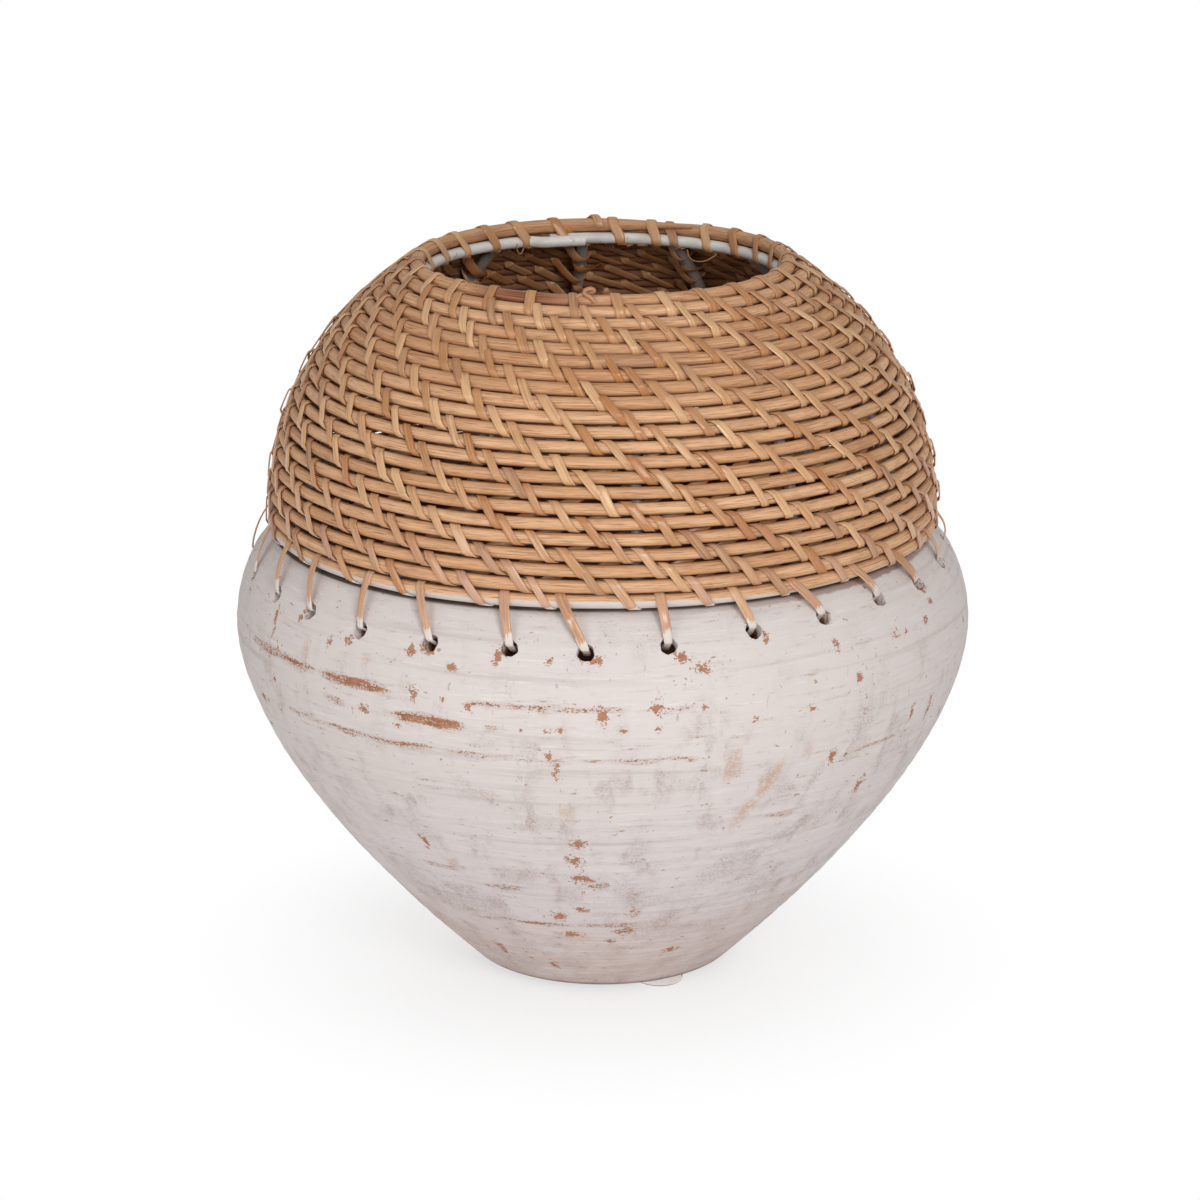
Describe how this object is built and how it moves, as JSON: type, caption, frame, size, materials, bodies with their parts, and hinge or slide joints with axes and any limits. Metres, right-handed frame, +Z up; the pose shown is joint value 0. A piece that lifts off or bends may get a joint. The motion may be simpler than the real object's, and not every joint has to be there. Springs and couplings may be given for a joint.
{
  "type": "vase",
  "caption": "Round-bellied vase: a whitewashed clay pot below, a dome of coiled rattan sewn with cane on a wire frame above, laced to the clay through drilled holes.",
  "frame": {"origin": "on the vase's axis, in the plane that its pads stand on", "axes": "+Z up along the vase's axis, -Y towards the side that the picture shows"},
  "size_m": [0.3, 0.3, 0.2974],
  "materials": {
    "whitewashed_clay": "matte",
    "clear_pad": "gloss",
    "white_wire": "satin",
    "rattan_core": "matte",
    "cane": "satin"
  },
  "bodies": {
    "root": {"clay_pot": "whitewashed_clay", "bumper_pad_01": "clear_pad", "bumper_pad_02": "clear_pad", "bumper_pad_03": "clear_pad", "bottom_hoop": "white_wire", "top_hoop": "white_wire", "frame_rib_01": "white_wire", "frame_rib_02": "white_wire", "frame_rib_03": "white_wire", "frame_rib_04": "white_wire", "frame_rib_05": "white_wire", "frame_rib_06": "white_wire", "frame_rib_07": "white_wire", "frame_rib_08": "white_wire", "frame_rib_09": "white_wire", "frame_rib_10": "white_wire", "frame_rib_11": "white_wire", "frame_rib_12": "white_wire", "rattan_coil": "rattan_core", "stitch_run_01": "cane", "stitch_run_02": "cane", "stitch_run_03": "cane", "stitch_run_04": "cane", "stitch_run_05": "cane", "stitch_run_06": "cane", "stitch_run_07": "cane", "stitch_run_08": "cane", "stitch_run_09": "cane", "stitch_run_10": "cane", "stitch_run_11": "cane", "stitch_run_12": "cane", "stitch_run_13": "cane", "stitch_run_14": "cane", "stitch_run_15": "cane", "stitch_run_16": "cane", "stitch_run_17": "cane", "stitch_run_18": "cane", "stitch_run_19": "cane", "stitch_run_20": "cane", "stitch_run_21": "cane", "stitch_run_22": "cane", "stitch_run_23": "cane", "stitch_run_24": "cane", "stitch_run_25": "cane", "stitch_run_26": "cane", "stitch_run_27": "cane", "stitch_run_28": "cane"}
  },
  "joints": []
}
